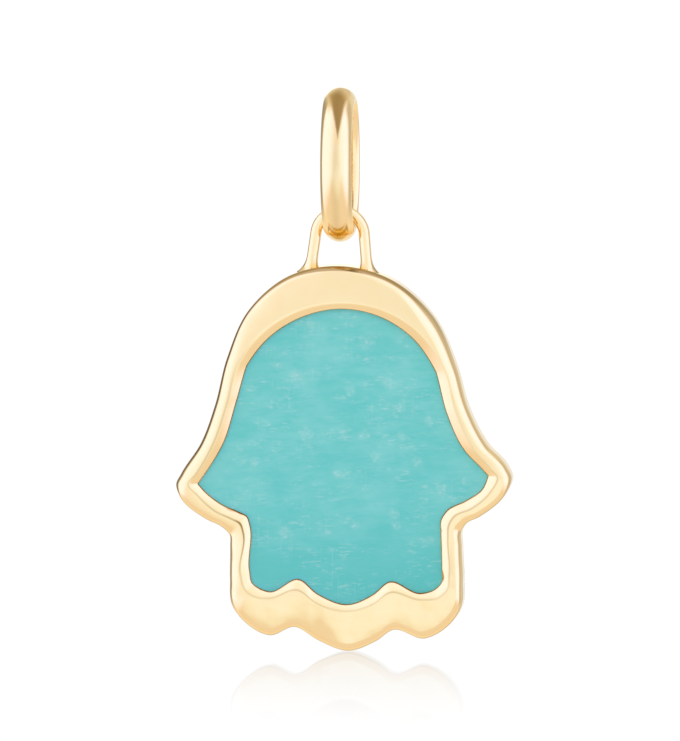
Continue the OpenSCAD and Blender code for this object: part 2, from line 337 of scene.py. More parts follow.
class Socket:
    """A number or a vector in a node tree. Python's operators on it add Math nodes."""

    def __init__(self, tree: Tree, raw: bpy.types.NodeSocket) -> None:
        """Wraps one output socket of a tree."""
        self.tree = tree
        self.raw = raw

    def maths(self, operation: str, *others: Operand, clamp: bool = False) -> Socket:
        """Adds one Math node.

        Args:
            operation: The node's operation.
            *others: Its second and third values, where it has them.
            clamp: Whether the result is kept between 0 and 1.

        Returns:
            The result.
        """
        values = dict(enumerate((self, *others)))
        return self.tree.node("ShaderNodeMath", {"operation": operation, "use_clamp": clamp}, values)

    def __add__(self, other: Operand) -> Socket:
        """Sum."""
        return self.maths("ADD", other)

    __radd__ = __add__

    def __sub__(self, other: Operand) -> Socket:
        """Difference."""
        return self.maths("SUBTRACT", other)

    def __rsub__(self, other: float) -> Socket:
        """A number less this socket."""
        return (self * -1.0).maths("ADD", other)

    def __mul__(self, other: Operand) -> Socket:
        """Product."""
        return self.maths("MULTIPLY", other)

    __rmul__ = __mul__

    def __truediv__(self, other: Operand) -> Socket:
        """Quotient."""
        return self.maths("DIVIDE", other)

    def __pow__(self, other: Operand) -> Socket:
        """Power."""
        return self.maths("POWER", other)

    def absolute(self) -> Socket:
        """Size without its sign."""
        return self.maths("ABSOLUTE")

    def clamped(self) -> Socket:
        """The value kept between 0 and 1."""
        return self.maths("ADD", 0.0, clamp=True)

    def step(self, low: float, high: float) -> Socket:
        """A smooth rise from 0 at low to 1 at high."""
        ends = {"From Min": low, "From Max": high, "Value": self}
        return self.tree.node("ShaderNodeMapRange", {"interpolation_type": "SMOOTHSTEP"}, ends)


Operand = Socket | float


class Tree:
    """A node tree that is written as expressions."""

    def __init__(self, raw: bpy.types.NodeTree) -> None:
        """Empties the tree."""
        self.raw = raw
        raw.nodes.clear()

    def node(self, kind: str, settings: dict[str, object] | None = None,
             inputs: dict[str | int, object] | None = None, output: str | int = 0) -> Socket:
        """Adds one node.

        Args:
            kind: The node's type.
            settings: Its settings, which are set first. stops holds a ramp's stops, as (place, colour).
            inputs: Values of its sockets, or links from other sockets.
            output: Name or number of the output that is wanted.

        Returns:
            That output. A node without outputs returns its own first input.
        """
        made = self.raw.nodes.new(kind)
        for name, value in (settings or {}).items():
            if name == "stops":
                self.set_stops(made.color_ramp, value)
            else:
                setattr(made, name, value)
        for name, value in (inputs or {}).items():
            if isinstance(value, Socket):
                self.raw.links.new(value.raw, made.inputs[name])
            else:
                made.inputs[name].default_value = value
        return Socket(self, made.outputs[output] if made.outputs else made.inputs[0])

    @staticmethod
    def set_stops(ramp: bpy.types.ColorRamp, stops: list[tuple[float, Colour]]) -> None:
        """Gives a ramp its stops, in place of the two that it starts with.

        Args:
            ramp: The node's ramp.
            stops: Places from 0 to 1, each with its colour.
        """
        while len(ramp.elements) > 1:
            ramp.elements.remove(ramp.elements[-1])
        ramp.elements[0].position, ramp.elements[0].color = stops[0]
        for place, colour in stops[1:]:
            ramp.elements.new(place).color = colour

    def mix(self, share: Operand, a: Socket | Colour, b: Socket | Colour) -> Socket:
        """Two colours mixed by the share of the second one."""
        return self.node("ShaderNodeMix", {"data_type": "RGBA"}, {0: share, 6: a, 7: b}, 2)

    def scaled(self, colour: Socket, amount: Operand) -> Socket:
        """A colour or vector times a number."""
        return self.node("ShaderNodeVectorMath", {"operation": "SCALE"}, {0: colour, "Scale": amount})

    def place(self) -> Socket:
        """Place on the object, in metres."""
        return self.node("ShaderNodeTexCoord", output="Object")

    def along(self, vector: Socket, axis: str) -> Socket:
        """A vector's length along the axis X, Y or Z."""
        return self.node("ShaderNodeSeparateXYZ", None, {"Vector": vector}, axis)

    def attribute(self, name: str) -> Socket:
        """The number that the mesh stores for each point under a name."""
        return self.node("ShaderNodeAttribute", {"attribute_name": name}, output="Fac")

    def turned(self, vector: Socket, angles: Triple) -> Socket:
        """A vector turned about X, Y and Z by angles in degrees."""
        turn = tuple(math.radians(angle) for angle in angles)
        return self.node("ShaderNodeMapping", {"vector_type": "POINT"}, {"Vector": vector, "Rotation": turn})

    def stretched(self, vector: Socket, scale: Triple) -> Socket:
        """A vector whose three parts are multiplied by three numbers."""
        return self.node("ShaderNodeVectorMath", {"operation": "MULTIPLY"}, {0: vector, 1: scale})

    def bump(self, height: Socket, distance: float, normal: Socket | None = None) -> Socket:
        """A normal bumped by a height.

        Args:
            height: The height, from 0 to 1.
            distance: Metres that a height of 1 stands for.
            normal: The normal that is bumped, or None for the surface's own.

        Returns:
            The bumped normal.
        """
        inputs: dict[str | int, object] = {"Height": height, "Distance": distance}
        if normal is not None:
            inputs["Normal"] = normal
        return self.node("ShaderNodeBump", None, inputs)


def new_material(name: str) -> tuple[bpy.types.Material, Tree]:
    """A material and its tree.

    Args:
        name: Name of the material.

    Returns:
        The material, and its tree without nodes.
    """
    material = bpy.data.materials.new(name)
    material.use_nodes = True
    return material, Tree(material.node_tree)


# Finishes


@dataclass(frozen=True)
class Pattern:
    """Soft noise on a piece, from 0 to 1, or raised from none to full between two of its values."""

    # Features to a metre
    scale: float
    stretch: Triple = (1.0, 1.0, 1.0)
    # Turn about Y, in degrees, before the stretch
    lean: float = 0.0
    detail: float = 2.0
    rough: float = 0.5
    distortion: float = 0.0
    rise: Span | None = None

    def on(self, tree: Tree, place: Socket) -> Socket:
        """Adds the pattern to a material.

        Args:
            tree: The material's tree.
            place: The place on the piece, in metres.

        Returns:
            The pattern's value there.
        """
        spot = tree.stretched(tree.turned(place, (0.0, self.lean, 0.0)), self.stretch)
        value = tree.node("ShaderNodeTexNoise", {"noise_dimensions": "3D"},
                          {"Vector": spot, "Scale": self.scale, "Detail": self.detail,
                           "Roughness": self.rough, "Distortion": self.distortion})
        return value.step(*self.rise) if self.rise else value


@dataclass(frozen=True)
class GoldFinish:
    """Polished yellow gold plate over a cast and tumbled surface. Lengths are in metres."""

    name: str
    colour: Colour = (0.99, 0.793, 0.446, 1.0)
    warm: Colour = (0.98, 0.757, 0.395, 1.0)
    # Colours of the painted shade and of the painted orange reflection that the mesh's attributes mix in
    shade_tone: Colour = (0.30, 0.18, 0.035, 1.0)
    reflection_tone: Colour = (1.0, 0.6, 0.08, 1.0)
    drift: Pattern = Pattern(900.0, rise=(0.35, 0.75))
    drift_share: float = 0.5
    waves: Pattern = Pattern(420.0)
    wave_height: float = 1.6e-5
    # Depths below the origin between which the waves grow, by a gain, as on the cast fingers
    cast_depth: Span = (0.0235, 0.0255)
    cast_gain: float = 9.0
    grain: Pattern = Pattern(9000.0, detail=3.0, rough=0.6)
    marks: Pattern = Pattern(5200.0, (1.0, 1.0, 9.0), 25.0, rough=0.6)
    grain_height: float = 2.5e-6
    roughness: float = 0.12
    roughness_spread: float = 0.05
    # Share of the grain in the roughness; the rest is the tumbling marks'
    grain_share: float = 0.6

    def material(self) -> bpy.types.Material:
        """Builds the material: slow waves, fine tumbling marks, a slight drift of colour, painted shade and a
        painted orange reflection.

        Returns:
            The material.
        """
        material, tree = new_material(self.name)
        place = tree.place()
        grain, marks = self.grain.on(tree, place), self.marks.on(tree, place)
        colour = tree.mix(self.drift.on(tree, place) * self.drift_share, self.colour, self.warm)
        # Painted shade and painted orange reflection, as each piece stores them for each point
        colour = tree.mix(tree.attribute("painted_shade"), colour, self.shade_tone)
        colour = tree.mix(tree.attribute("painted_reflection"), colour, self.reflection_tone)
        spread = grain * self.grain_share + marks * (1 - self.grain_share) - 0.5
        cast = 1.0 + (tree.along(place, "Z") * -1.0).step(*self.cast_depth) * self.cast_gain
        normal = tree.bump(self.waves.on(tree, place) * cast, self.wave_height)
        normal = tree.bump(grain * 0.5 + marks * 0.5, self.grain_height, normal)
        gold = tree.node("ShaderNodeBsdfPrincipled", {"distribution": "MULTI_GGX"}, {
            "Base Color": colour, "Metallic": 1.0, "Normal": normal,
            "Roughness": self.roughness + spread * (2 * self.roughness_spread)})
        tree.node("ShaderNodeOutputMaterial", None, {"Surface": gold})
        return material


@dataclass(frozen=True)
class StoneFinish:
    """Flat polished blue-green stone with soft clouds, fine streaks and clusters of small pale flecks.

    Lengths are in metres, unless a comment says millimetres.
    """

    name: str = "blue_green_stone"
    pale: Colour = (0.180, 0.580, 0.500, 1.0)
    deep: Colour = (0.102, 0.528, 0.446, 1.0)
    dark: Colour = (0.072, 0.490, 0.415, 1.0)
    rim_tint: Colour = (0.106, 0.515, 0.520, 1.0)
    fleck: Colour = (0.46, 0.66, 0.60, 1.0)
    clouds: Pattern = Pattern(420.0, (1.0, 1.0, 1.5), detail=3.0, distortion=0.4)
    layers: Pattern = Pattern(1500.0, (0.5, 1.0, 1.7), 4.0, 4.0, 0.62, 0.3)
    cloud_rise: Span = (0.32, 0.7)
    # Depths below the origin between which the stone darkens, in metres
    dark_depth: Span = (0.021, 0.026)
    dark_share: float = 0.75
    # Width of the rim's tint, in millimetres, and places across between which it ends, in metres
    rim_w: float = 0.45
    rim_end: Span = (-0.002, 0.006)
    rim_share: float = 0.6
    # Streaks run along the beds and scratches across them, each where its range of the beds lies
    beds: Pattern = Pattern(1000.0, (0.6, 1.0, 1.4))
    streaks: Pattern = Pattern(6500.0, (0.32, 1.0, 1.2), 3.0, 3.0, 0.62, rise=(0.5, 0.72))
    streak_beds: Span = (0.42, 0.64)
    streak_share: float = 0.4
    scratches: Pattern = Pattern(8000.0, (1.0, 1.0, 0.05), detail=1.0, rise=(0.62, 0.74))
    scratch_beds: Span = (0.45, 0.6)
    scratch_share: float = 0.12
    # Clusters of flecks, as (across, up, radius) in millimetres
    clusters: tuple[Triple, ...] = (
        (-1.72, -17.8, 0.5), (0.2, -17.75, 0.38), (1.36, -17.75, 0.42), (3.38, -16.25, 0.34),
        (4.84, -16.94, 0.36), (2.95, -21.99, 0.42), (3.05, -22.6, 0.36), (1.55, -12.65, 0.62),
        (-2.28, -14.58, 0.5), (-3.33, -14.04, 0.36), (-1.56, -11.79, 0.28), (0.87, -22.62, 0.36),
        (2.62, -14.9, 0.4), (1.93, -18.88, 0.36), (3.37, -17.77, 0.34), (4.23, -19.15, 0.42),
        (-0.05, -19.84, 0.32), (5.5, -20.6, 0.36), (4.84, -23.33, 0.32), (-4.6, -19.2, 0.34),
        (-2.9, -22.9, 0.36), (0.6, -15.4, 0.4))
    # A cluster's ragged outline, and the shares of the radius between which it ends
    ragged: Pattern = Pattern(2600.0, rough=0.6)
    ragged_share: float = 1.2
    cluster_end: Span = (0.3, 1.0)
    specks: Pattern = Pattern(5600.0, (0.8, 1.0, 1.0), detail=3.0, rough=0.65, rise=(0.5, 0.68))
    speck_share: float = 0.42
    haze_share: float = 0.13
    unevenness: Pattern = Pattern(700.0)
    uneven_height: float = 1.2e-5
    roughness: float = 0.28
    ior: float = 1.53

    def paleness(self, tree: Tree, place: Socket) -> Socket:
        """Share of the pale fleck colour: streaks, scratches and clusters of specks in a haze.

        Args:
            tree: The material's tree.
            place: The place on the stone, in metres.

        Returns:
            The share, from 0 to 1.
        """
        beds = self.beds.on(tree, place)
        pale = self.streaks.on(tree, place) * beds.step(*self.streak_beds) * self.streak_share
        pale = pale + self.scratches.on(tree, place) * beds.step(*self.scratch_beds) * self.scratch_share
        fill = self.specks.on(tree, place) * self.speck_share + self.haze_share
        ragged = (self.ragged.on(tree, place) - 0.5) * self.ragged_share
        flat = tree.stretched(place, (1.0, 0.0, 1.0))
        for x, z, radius in self.clusters:
            apart = tree.node("ShaderNodeVectorMath", {"operation": "DISTANCE"},
                              {0: flat, 1: (x * MM, 0.0, z * MM)}, "Value")
            pale = pale + (1.0 - (apart / (radius * MM) + ragged).step(*self.cluster_end)) * fill
        return pale.clamped()

    def material(self) -> bpy.types.Material:
        """Builds the material.

        Returns:
            The material.
        """
        material, tree = new_material(self.name)
        place = tree.place()
        share = (self.clouds.on(tree, place) * 0.5 + self.layers.on(tree, place) * 0.5).step(*self.cloud_rise)
        colour = tree.mix(share, self.deep, self.pale)
        lower = (tree.along(place, "Z") * -1.0).step(*self.dark_depth)
        colour = tree.mix(lower * self.dark_share, colour, self.dark)
        rim = (1.0 - tree.attribute("inwards").step(0.0, self.rim_w)) * self.rim_share
        colour = tree.mix(rim * (1.0 - tree.along(place, "X").step(*self.rim_end)), colour, self.rim_tint)
        colour = tree.mix(self.paleness(tree, place), colour, self.fleck)
        normal = tree.bump(self.unevenness.on(tree, place), self.uneven_height)
        stone = tree.node("ShaderNodeBsdfPrincipled", None, {
            "Base Color": colour, "Roughness": self.roughness, "IOR": self.ior, "Normal": normal})
        tree.node("ShaderNodeOutputMaterial", None, {"Surface": stone})
        return material


# Pieces


@dataclass
class Bail:
    """The long closed oval ring of half-round band that the loop hangs in."""

    height: float = 8.28
    depth: float = 6.2
    width: float = 1.66
    thickness: float = 0.85
    # Radius of the inner corners where the loop hangs
    edge_r: float = 0.12
    # Radius and half angle of the crown's wide arc
    crown_r: float = 0.9
    crown_turn: float = 64.0
    # Width and height of the eased inner edges
    ease_w: float = 0.42
    ease_h: float = 0.2
    # Painted shade along the crown, and the distances from its middle between which it ends
    shade: float = 0.16
    shade_end: Span = (0.06, 0.3)
    # Painted orange reflection at the front of the bottom: its strength, its middle and its half
    # sizes, as (across, degrees round from the back by way of the bottom), and where its fading starts
    painted_reflection: float = 0.95
    reflection_at: Span = (0.12, 118.5)
    reflection_size: Span = (0.6, 8.0)
    reflection_full: float = 0.41
    ring_steps: int = 200
    crown_steps: int = 36
    edge_steps: int = 10
    flat_steps: int = 8
    finish: GoldFinish = field(default_factory=lambda: GoldFinish("bail_polish"))

    @property
    def floor_z(self) -> float:
        """Height of the bottom of the hollow."""
        return -(self.height - 2 * self.thickness)

    def band(self) -> np.ndarray:
        """The band's section, as points across and out from the flat inside: edge, crown, edge.

        The crown is a wide arc with a tighter arc at each side, down to the upright flanks. The inner
        edges are quarter ellipses.

        Returns:
            One row of two coordinates for each point.
        """
        half = self.width / 2
        turn = math.radians(self.crown_turn)
        wide_x = self.crown_r * math.sin(turn)
        side_r = (half - wide_x) / (1 - math.sin(turn))
        wide = np.linspace(-turn, turn, self.crown_steps + 1)[::-1]
        side = np.linspace(math.pi / 2, turn, self.crown_steps // 2 + 1)[:-1]
        crown = np.stack([self.crown_r * np.sin(wide), self.thickness - self.crown_r * (1 - np.cos(wide))], 1)
        shoulder = np.stack([half - side_r * (1 - np.sin(side)),
                             crown[0, 1] + side_r * (np.cos(side) - math.cos(turn))], 1)
        right = np.radians(np.linspace(-90, 0, self.edge_steps + 1))
        left = np.radians(np.linspace(180, 270, self.edge_steps + 1))
        reach = half - self.ease_w
        flat = np.linspace(-reach, reach, self.flat_steps + 1)[1:-1]
        return np.concatenate([
            np.stack([reach + self.ease_w * np.cos(right), self.ease_h * (1 + np.sin(right))], 1),
            np.concatenate([shoulder, crown, shoulder[::-1] * np.array([-1.0, 1.0])]),
            np.stack([-reach + self.ease_w * np.cos(left), self.ease_h * (1 + np.sin(left))], 1),
            np.stack([flat, np.zeros_like(flat)], 1),
        ])

    def reflection_patch(self, band: np.ndarray, turn: np.ndarray) -> np.ndarray:
        """Share of the painted orange reflection at each point, in an ellipse that fades from its middle
        outwards.

        Args:
            band: The section's points.
            turn: Angles of the sections round the hollow, in radians.

        Returns:
            One row for each section.
        """
        across = (band[:, 0] - self.reflection_at[0]) / self.reflection_size[0]
        along = (-np.degrees(turn) - self.reflection_at[1]) / self.reflection_size[1]
        apart = np.hypot(across[None, :], along[:, None])
        return self.painted_reflection * rise_between(apart, 1, self.reflection_full) * self.outside(band)[None, :]

    def outside(self, band: np.ndarray) -> np.ndarray:
        """Which of the section's points are on the outer half of the band."""
        return band[:, 1] > self.thickness / 2

    def build(self) -> bpy.types.Object:
        """Carries the section round the hollow's ellipse, its thickness along the ellipse's normal.

        Returns:
            The ring.
        """
        half_y = self.depth / 2 - self.thickness
        half_z = self.height / 2 - self.thickness
        turn = -2 * np.pi * np.arange(self.ring_steps) / self.ring_steps
        inside = np.stack([half_y * np.cos(turn), half_z * np.sin(turn)], 1)
        normal = np.stack([half_z * np.cos(turn), half_y * np.sin(turn)], 1)
        normal = normal / length(normal)
        band = self.band()
        across = np.broadcast_to(band[None, :, 0], (self.ring_steps, len(band)))
        out = inside[:, None, :] + normal[:, None, :] * band[None, :, 1, None]
        middle_z = self.thickness - self.height / 2
        rings = np.stack([across, out[..., 0], middle_z + out[..., 1]], axis=-1)
        ring = skin("bail_ring", rings, None)
        # Painted shade along the middle of the crown
        crown = rise_between(np.abs(band[:, 0]), self.shade_end[1], self.shade_end[0]) * self.outside(band)
        set_attribute(ring, "painted_shade", np.tile(self.shade * crown, self.ring_steps))
        # Painted orange reflection at the front of the bottom
        set_attribute(ring, "painted_reflection", self.reflection_patch(band, turn).reshape(-1))
        ring.data.materials.append(self.finish.material())
        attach(ring, "bail")
        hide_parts("bail")
        return ring


@dataclass
class WireLoop:
    """The wire loop that hangs on the bail and is soldered to the hand by two flared feet."""

    bail: Bail
    wire_d: float = 0.6
    # Clearances to the band beside each leg and under the arch
    side_gap: float = 0.17
    hang_gap: float = 0.07
    splay: float = 6.5
    leg_h: float = 1.72
    # Radius and height of a foot's flare, its drop below the hand's top, and its reach into the hand
    foot_r: float = 0.7
    foot_h: float = 1.1
    foot_drop: float = 0.35
    foot_bite: float = 0.5
    lean: float = 1.8
    # Height over which the painted shade and painted orange reflection at each foot grow, and each one's
    # start and full strength from 1, outside, to -1, inside
    shade_h: float = 0.55
    outer_side: Span = (0.8, 0.967)
    outer_dark: float = 0.9
    inner_side: Span = (0.14, -0.42)
    inner_dark: float = 0.55
    inner_reflection: float = 0.8
    wire_sides: int = 64
    foot_steps: int = 20
    arch_steps: int = 72
    finish: GoldFinish = field(default_factory=lambda: GoldFinish("loop_polish"))

    @property
    def radius(self) -> float:
        """Radius of the arch, to the wire's middle."""
        return self.bail.width / 2 + self.side_gap + self.wire_d / 2

    @property
    def arch_z(self) -> float:
        """Height of the arch's centre, where the wire hangs on the band's two inner edges.

        Returns:
            The height: the wire's inner side touches circles at the band's inner corners, bar the gap.
        """
        reach_r = self.radius - self.wire_d / 2 - self.hang_gap - self.bail.edge_r
        reach_x = self.bail.width / 2 - self.bail.edge_r
        return self.bail.floor_z - self.bail.edge_r - math.sqrt(reach_r**2 - reach_x**2)

    @property
    def hand_z(self) -> float:
        """Height of the hand's top."""
        return self.arch_z - self.leg_h

    def stations(self) -> np.ndarray:
        """Stations from the right foot over the arch to the left foot.

        A foot widens with the cube of the way down its flare.

        Returns:
            Rows of the angle round the arch in radians, the way down the leg, and the wire's radius.
        """
        splay = math.radians(self.splay)
        leg = (self.leg_h + self.foot_drop) / math.cos(splay) + self.radius * math.sin(splay)
        share = np.linspace(1, 0, self.foot_steps + 1)
        down = np.concatenate([[leg + self.foot_bite], leg - self.foot_h * (1 - share)])
        thick = np.concatenate([[self.foot_r], self.wire_d / 2 + (self.foot_r - self.wire_d / 2) * share**3])
        arch = np.linspace(splay, math.pi - splay, self.arch_steps + 1)
        right = np.stack([np.full_like(down, splay), down, thick], 1)
        over = np.stack([arch, np.zeros_like(arch), np.full_like(arch, self.wire_d / 2)], 1)
        left = np.stack([np.full_like(down, math.pi - splay), -down, thick], 1)[::-1]
        return np.concatenate([right, over, left])

    def shade_and_reflection(self, down: np.ndarray, side: np.ndarray) -> tuple[np.ndarray, np.ndarray]:
        """Painted shade and painted orange reflection at each point of the wire's rings.

        A thin painted dark line at the outer side of each foot, and painted shade with a painted orange
        reflection at its inner side, grow towards the hand.

        Args:
            down: Way down the leg to each ring.
            side: Side of each point of a ring, from 1, outside, to -1, inside.

        Returns:
            The painted shade and the painted orange reflection, one row for each ring.
        """
        hand_down = down.max() - self.foot_bite - self.foot_drop
        low = rise_between(down, hand_down - self.shade_h, hand_down)[:, None]
        outer = low * rise_between(side, *self.outer_side)
        inner = low**2 * rise_between(side, *self.inner_side)
        return self.outer_dark * outer + self.inner_dark * inner, self.inner_reflection * inner

    def build(self) -> bpy.types.Object:
        """Sweeps the wire's circle through its stations.

        A station's middle is the arch's radius at its angle plus the way down along the arch's tangent.

        Returns:
            The loop.
        """
        angle, down, thick = self.stations().T
        c, s, zero = np.cos(angle), np.sin(angle), np.zeros_like(angle)
        middle = np.stack([self.radius * c + down * s, zero, self.radius * s - down * c], 1)
        around = 2 * np.pi * np.arange(self.wire_sides) / self.wire_sides
        out, back = np.cos(around)[None, :, None], -np.sin(around)[None, :, None]
        along = np.stack([c, zero, s], 1)[:, None, :]
        rings = middle[:, None, :] + thick[:, None, None] * (out * along + back * np.array([0.0, 1.0, 0.0]))
        hang = np.array([0.0, 0.0, self.arch_z])
        placed = turned_about_y(rings.reshape(-1, 3), self.lean).reshape(rings.shape) + hang
        ends = turned_about_y(middle[[0, -1]], self.lean) + hang
        wire = skin("wire_loop", placed, (ends[0], ends[1]))
        # Painted dark line outside each foot, painted shade and painted orange reflection inside it
        dark, reflected = self.shade_and_reflection(np.abs(down), np.cos(around))
        set_attribute(wire, "painted_shade", np.append(dark, np.zeros(len(ends))))
        set_attribute(wire, "painted_reflection", np.append(reflected, np.zeros(len(ends))))
        wire.data.materials.append(self.finish.material())
        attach(wire, "pendant")
        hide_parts("setting")
        return wire


@dataclass
class Hand:
    """The cast hand and the stone let into it, which share one table of outlines."""

    loop: WireLoop
    width: float = 18.1
    height: float = 20.65
    lean: float = 1.5
    # Distances that the hand lies to the side and forward of the loop's middle
    off: float = 0.09
    forward: float = 0.16
    # Widths of metal between the hand's outline and the stone
    rim_top: float = 2.18
    rim_side: float = 1.24
    rim_bottom: float = 2.55
    bevel_w: float = 0.5
    bevel_d: float = 0.27
    # Share of the bevel's depth that falls evenly, and the rest falls with the square
    bevel_even: float = 0.6
    # Least share of the rim that stays land
    least_land: float = 0.12
    # Half width of the softened crest, and the most of the bevel or the land that it takes
    crest_soft: float = 0.09
    crest_share: float = 0.8
    back_r: float = 0.15
    back_t: float = 0.45
    stone_t: float = 1.0
    stone_sink: float = 0.38
    stone_off: float = 0.03
    stone_ease: float = 0.015
    seat_gap: float = 0.05
    # Depth of the seat wall's upper ring below the stone's face
    wall_ring: float = 0.2
    # Points between two rows of the tables, and the numbers and places of the rings round the skin
    line_steps: int = 18
    bevel_rings: int = 9
    bevel_end: float = 0.96
    land_rings: int = 10
    land_first: float = 0.06
    land_end: float = 0.97
    edge_rings: int = 20
    side_shares: Triple = (0.1, 0.5, 0.9)
    back_rings: int = 7
    back_insets: Span = (0.03, 0.2)
    # Painted shade of the rings over the crest, as shares of its line's darkness
    crest_dark: tuple[float, ...] = (0, 0.25, 0.6, 0.9, 1, 0.9, 0.6, 0.25, 0)
    # Widths of the seam between which the painted shade on the seat's wall and the bevel's foot grows, and
    # how dark it gets
    seam_w: Span = (0.006, 0.036)
    wall_dark: Span = (0.4, 0.9)
    foot_dark: float = 0.6
    edge_line_fade: float = 0.06
    # Rings on the stone: shares of the way in on its face and on its back, and up its side, and the number
    # over its eased edge; and the way in to its middle
    face_shares: tuple[float, ...] = (0.015, 0.04, 0.09, 0.16, 0.26, 0.4, 0.6, 0.8)
    under_share: float = 0.01
    side_share: float = 0.6
    ease_rings: int = 5
    face_reach: float = 7.0
    gold: GoldFinish = field(default_factory=lambda: GoldFinish("hand_polish"))
    stone: StoneFinish = field(default_factory=StoneFinish)

    def __post_init__(self) -> None:
        """Works out the outlines and the depths that both pieces share."""
        self.thickness = self.stone_sink + self.stone_t + self.seat_gap + self.back_t
        self.crest_y = -self.thickness / 2 - self.forward
        self.face_y = self.crest_y + self.stone_sink
        self.floor_y = self.face_y + self.stone_t + self.seat_gap
        self.back_y = self.crest_y + self.thickness
        stone_w = self.width - 2 * self.rim_side
        stone_h = self.height - self.rim_top - self.rim_bottom
        hand = np.stack([column(Column.HAND_X) * self.width / 2, -column(Column.HAND_DROP) * self.height], 1)
        stone = np.stack([self.stone_off + column(Column.STONE_X) * stone_w / 2,
                          -self.rim_top - column(Column.STONE_DROP) * stone_h], 1)
        crest = moved_towards(stone, hand, column(Column.BEVEL)[:, None] * self.bevel_w)
        plain = np.zeros(len(OUTLINE))
        self.hand_line = smooth_loop(hand, plain, self.line_steps)
        self.crest_line = smooth_loop(crest, plain, self.line_steps)
        self.stone_line = smooth_loop(stone, column(Column.CORNER), self.line_steps)
        self.seat_line = widened(self.stone_line, self.relief(Relief.SEAM))
        self.inner = length(self.seat_line - self.crest_line)
        self.bevel_depth = np.minimum(self.inner / self.bevel_w, 1.0) * self.bevel_d
        rim = length(self.crest_line - self.hand_line)
        self.rounding = np.minimum(self.relief(Relief.EDGE), (1 - self.least_land) * rim)
        self.land = rim - self.rounding
        self.crest_slope, self.land_slope = (np.tan(np.radians(self.relief(name)))
                                             for name in (Relief.CREST_TILT, Relief.LAND_TILT))
        self.soft = np.minimum(self.crest_soft, self.crest_share * np.minimum(self.inner, self.land))
        self.bend = self.relief(Relief.BEND)
        self.edge_tilt = np.radians(self.relief(Relief.EDGE_TILT))
        self.middle = np.array([0.0, stone[LEFT_TIP, 1]])

    def relief(self, name: Relief) -> np.ndarray:
        """One column of the relief's table, carried smoothly from row to row along the outlines.

        Args:
            name: The column.

        Returns:
            One row with one value for each point of an outline.
        """
        values = RELIEF[:, name.value]
        t = np.arange(self.line_steps) / self.line_steps
        share = (t * t * (3 - 2 * t))[None, :]
        return (values[:, None] * (1 - share) + np.roll(values, -1)[:, None] * share).reshape(-1, 1)

    def placed(self, points: np.ndarray) -> np.ndarray:
        """Points drawn below the hand's top, at the hand's lean under the loop."""
        return turned_about_y(points, -self.lean) + np.array([-self.off, 0.0, self.loop.hand_z])

    @staticmethod
    def at_depth(line: np.ndarray, depth: np.ndarray | float) -> np.ndarray:
        """A line of points across and down, put at a depth from front to back."""
        depth = np.broadcast_to(np.asarray(depth, float).reshape(-1), len(line))
        return np.stack([line[:, 0], depth, line[:, 1]], 1)

    def bevel_ring(self, share: np.ndarray | float) -> np.ndarray:
        """Ring on the bevel: the depth grows with the share of the way down, partly with its square."""
        line = self.crest_line + (self.seat_line - self.crest_line) * share
        return self.at_depth(line, self.crest_y + self.bevel_depth * self.bevel_fall(share))

    def bevel_fall(self, share: np.ndarray | float) -> np.ndarray | float:
        """Share of the bevel's depth at a share of the way down it."""
        return self.bevel_even * share + (1 - self.bevel_even) * share**2

    def land_depth(self, share: np.ndarray | float) -> np.ndarray:
        """Depth of the land, which bends from its tilt at the crest to its tilt at the rounding."""
        bent = (self.land_slope - self.crest_slope) * share ** (self.bend + 1) / (self.bend + 1)
        return self.crest_y + self.land * (self.crest_slope * share + bent)

    def land_ring(self, share: np.ndarray | float) -> np.ndarray:
        """Ring on the land at a share of the way from the crest out to the rounded edge."""
        return self.at_depth(moved_towards(self.crest_line, self.hand_line, self.land * share),
                             self.land_depth(share))

    def crest_rings(self) -> list[np.ndarray]:
        """Rings over the softened crest, along a parabola that starts on the bevel and ends on the land.

        Returns:
            The rings, from the bevel to the land.
        """
        shares = np.linspace(0, 1, len(self.crest_dark))
        start = self.bevel_ring(self.soft / self.inner)
        top = self.at_depth(self.crest_line, self.crest_y)
        end = self.land_ring(self.soft / self.land)
        return [start * (1 - t) ** 2 + top * 2 * t * (1 - t) + end * t**2 for t in shares]

    def tilt_at(self, share: float) -> np.ndarray:
        """Tilt of the front edge's rounding at a share of the way over it, in radians."""
        return self.edge_tilt + (np.pi / 2 - self.edge_tilt) * share

    def edge_ring(self, share: float) -> np.ndarray:
        """Ring on the front edge's rounding: a circle's arc from its first tilt to the upright wall.

        Args:
            share: Share of the way from the land to the wall.

        Returns:
            The ring's points.
        """
        tilt = self.tilt_at(share)
        radius = self.rounding / (1 - np.sin(self.edge_tilt))
        depth = self.land_depth(1.0) + radius * (np.cos(self.edge_tilt) - np.cos(tilt))
        line = moved_towards(self.hand_line, self.crest_line, radius * (1 - np.sin(tilt)))
        return self.at_depth(line, depth)

    def back_ring(self, angle: float, extra: float = 0.0) -> np.ndarray:
        """Ring on the back edge's rounding, a quarter circle, or on the flat back.

        Args:
            angle: Degrees round the quarter circle, from the wall to the back.
            extra: Distance further in.

        Returns:
            The ring's points.
        """
        inwards = self.back_r * (1 - math.cos(math.radians(angle))) + extra
        depth = self.back_y - self.back_r * (1 - math.sin(math.radians(angle)))
        return self.at_depth(moved_towards(self.hand_line, self.crest_line, inwards), depth)

